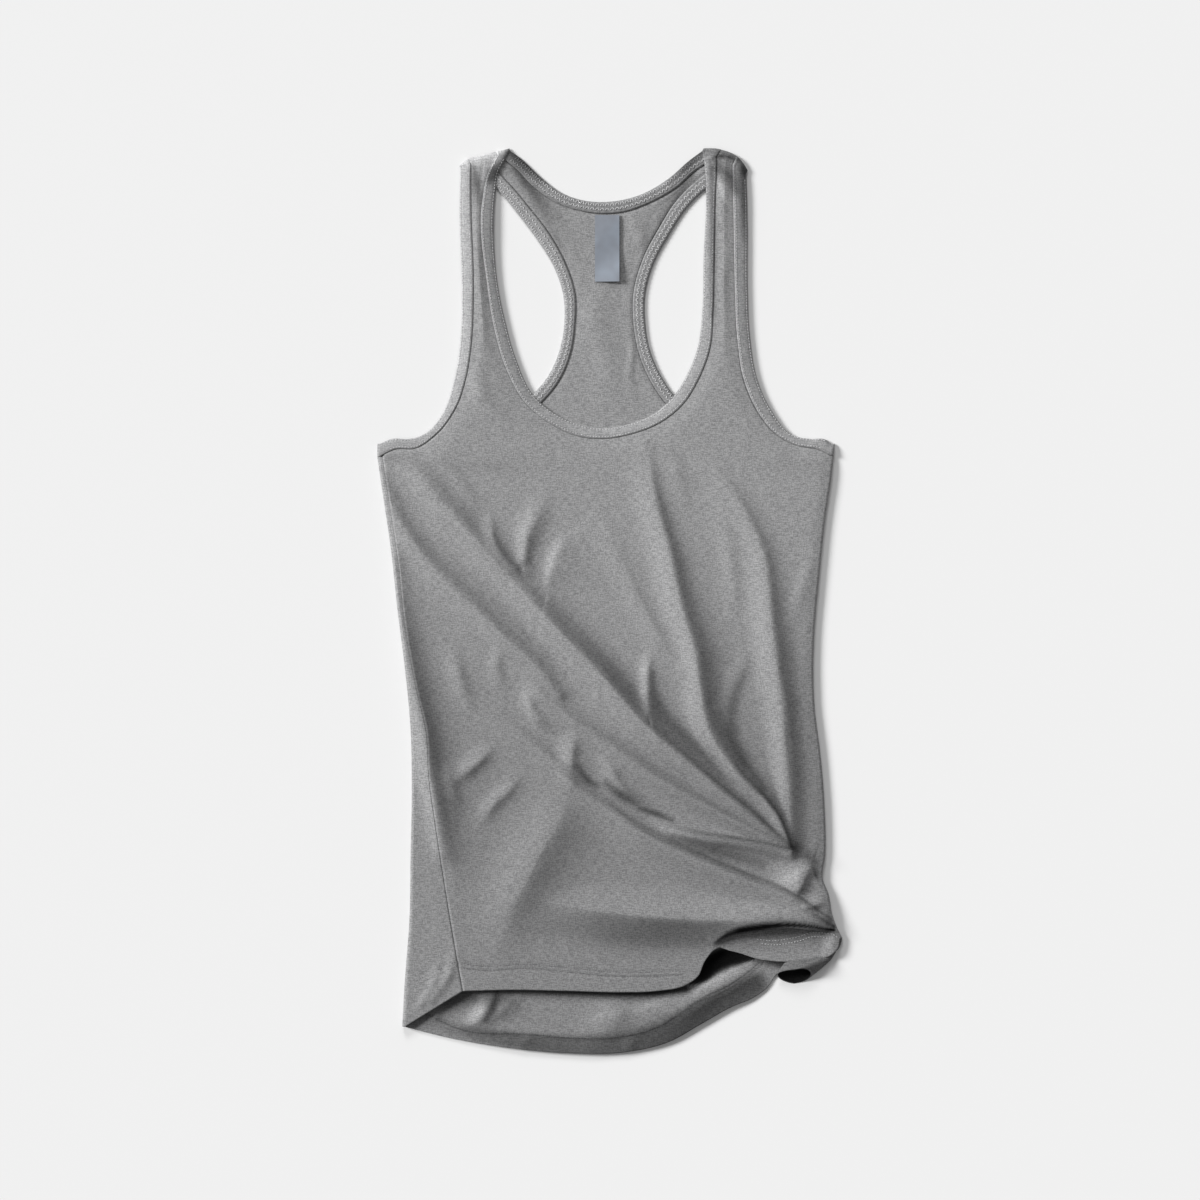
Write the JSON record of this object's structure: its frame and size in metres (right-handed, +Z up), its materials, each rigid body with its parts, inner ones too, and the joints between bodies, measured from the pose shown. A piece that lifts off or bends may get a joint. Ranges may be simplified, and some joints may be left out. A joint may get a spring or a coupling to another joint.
{
  "type": "tank top",
  "caption": "Racerback jersey tank top laid flat, front up, with bound neck and armholes and one side gathered above the hem.",
  "frame": {"origin": "bottom centre of the bounding box, on the surface that the garment lies on", "axes": "+Z up out of the front of the garment, +Y towards the neck, +X towards the gathered side"},
  "size_m": [0.3905, 0.7599, 0.0121],
  "materials": {
    "jersey": "grey marl fine jersey, matt",
    "binding": "grey marl jersey, folded and topstitched",
    "label": "plain woven satin"
  },
  "bodies": {
    "root": {"front_panel": "jersey", "back_panel": "jersey", "hem_roll": "jersey", "neck_binding": "binding", "left_arm_binding": "binding", "right_arm_binding": "binding", "neck_label": "label"}
  },
  "joints": []
}
